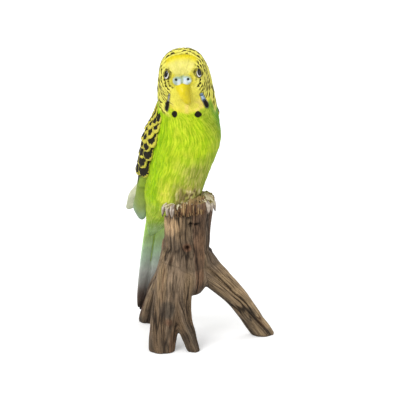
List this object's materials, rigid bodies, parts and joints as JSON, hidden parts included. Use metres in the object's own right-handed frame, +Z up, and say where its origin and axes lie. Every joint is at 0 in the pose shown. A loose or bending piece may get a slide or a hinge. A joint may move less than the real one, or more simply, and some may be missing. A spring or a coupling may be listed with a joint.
{
  "type": "parrot figurine",
  "caption": "Painted cast-resin garden figurine of a green and yellow budgerigar perched on a sawn tree stump that stands on spreading roots.",
  "frame": {"origin": "on the floor, under the centre of the figurine's bounding box", "axes": "+Z up, -Y towards the front, where the bird's face looks, +X to the viewer's right"},
  "size_m": [0.0962, 0.084, 0.1973],
  "materials": {
    "painted_resin": "cast polyester resin hand-painted in matt acrylics: greens and yellows on the bird, browns on the bark, dark wash in the carving",
    "painted_bark": "carved bark painted brown with a dark wash in the grooves and tan dry-brushed ridges",
    "eye_gloss": "glossy black painted eye"
  },
  "bodies": {
    "root": {"budgerigar_figurine": "painted_resin"}
  },
  "joints": []
}
